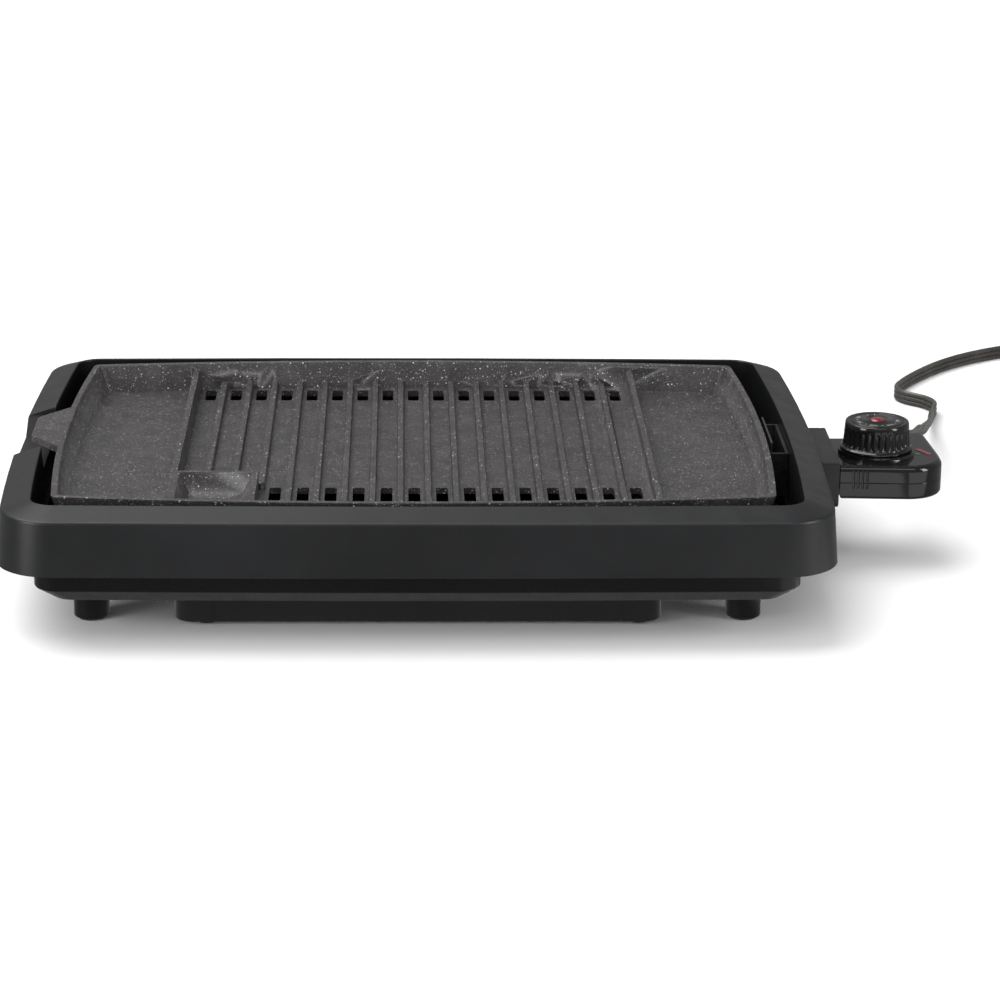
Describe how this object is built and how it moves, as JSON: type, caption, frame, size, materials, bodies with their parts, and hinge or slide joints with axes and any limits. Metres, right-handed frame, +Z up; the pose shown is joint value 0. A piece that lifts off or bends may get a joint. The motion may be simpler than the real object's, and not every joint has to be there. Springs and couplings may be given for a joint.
{
  "type": "electric griddle",
  "caption": "Indoor electric griddle: framed base with feet, lift-out speckled plate with ribs and flat zones, slide-out drip tray, plug-in probe control with dial and flat cord.",
  "frame": {"origin": "on the table, under the middle of the griddle and its control together, without the cord", "axes": "+X along the length towards the control, +Y to the back, +Z up"},
  "size_m": [0.8438, 0.7155, 0.0948],
  "materials": {
    "casing_plastic": "satin moulded plastic, charcoal black",
    "tub_plastic": "semi-gloss moulded plastic, black",
    "pad_rubber": "soft black rubber",
    "zinc_steel": "zinc-plated steel",
    "rail_steel": "bare pressed steel",
    "tray_plastic": "gloss black moulded plastic",
    "reflector_steel": "aluminised steel sheet",
    "element_sheath": "heat-darkened tubular sheath",
    "box_steel": "black painted steel",
    "pin_nickel": "nickel-plated pins",
    "ceramic": "glazed white steatite",
    "granite_coating": "dark non-stick coating with fine pale speckles on die-cast aluminium",
    "control_plastic": "high-gloss black phenolic",
    "knob_plastic": "high-gloss black plastic with fine flutes",
    "dial_print": "gloss black dial plate with small pale numerals",
    "red_lens": "clear red plastic lens",
    "green_lens": "clear green plastic lens",
    "block_plastic": "dark heat-resistant phenolic",
    "sleeve_brass": "plain brass",
    "probe_steel": "stainless steel",
    "cord_vinyl": "ribbed dark vinyl with a soft gloss"
  },
  "bodies": {
    "base": {"frame_casing": "casing_plastic", "base_tub": "tub_plastic", "casing_screws": "zinc_steel", "foot_front_left": "tub_plastic", "foot_front_right": "tub_plastic", "foot_rear_left": "tub_plastic", "foot_rear_right": "tub_plastic", "foot_pads": "pad_rubber", "foot_screws": "zinc_steel", "tray_rail_left": "rail_steel", "tray_rail_right": "rail_steel", "rail_screws": "zinc_steel", "heat_reflector": "reflector_steel", "heating_element": "element_sheath", "element_clips": "rail_steel", "plate_supports": "rail_steel", "terminal_box": "box_steel", "terminal_pins": "pin_nickel", "terminal_insulators": "ceramic", "control_shroud": "casing_plastic"},
    "plate": {"cooking_plate": "granite_coating"},
    "tray": {"drip_tray": "tray_plastic"},
    "control": {"housing_top": "control_plastic", "housing_bottom": "control_plastic", "housing_screws": "zinc_steel", "lamp_window": "red_lens", "power_lens": "green_lens", "contact_block": "block_plastic", "contact_sleeves": "sleeve_brass", "earth_spring": "zinc_steel", "probe_rod": "probe_steel", "thermostat": "block_plastic", "strain_relief": "cord_vinyl", "power_cord": "cord_vinyl", "plug_body": "cord_vinyl", "plug_blades": "sleeve_brass", "plug_ground_pin": "sleeve_brass"},
    "knob": {"dial_knob": "knob_plastic", "knob_disc": "dial_print", "knob_jewel": "red_lens", "knob_spindle": "probe_steel"}
  },
  "joints": [
    {"name": "plate_lift", "type": "slide", "parent": "base", "child": "plate", "axis": [0, 0, 1], "range_m": [0, 0.12]},
    {"name": "tray_slide", "type": "slide", "parent": "base", "child": "tray", "axis": [0, -1, 0], "range_m": [0, 0.27]},
    {"name": "control_pull", "type": "slide", "parent": "base", "child": "control", "axis": [1, 0, 0], "range_m": [0, 0.1]},
    {"name": "knob_turn", "type": "hinge", "parent": "control", "child": "knob", "pos_m": [0.2595, 0.002, 0.08], "axis": [0, 0, 1], "range_deg": [-270, 0]}
  ]
}
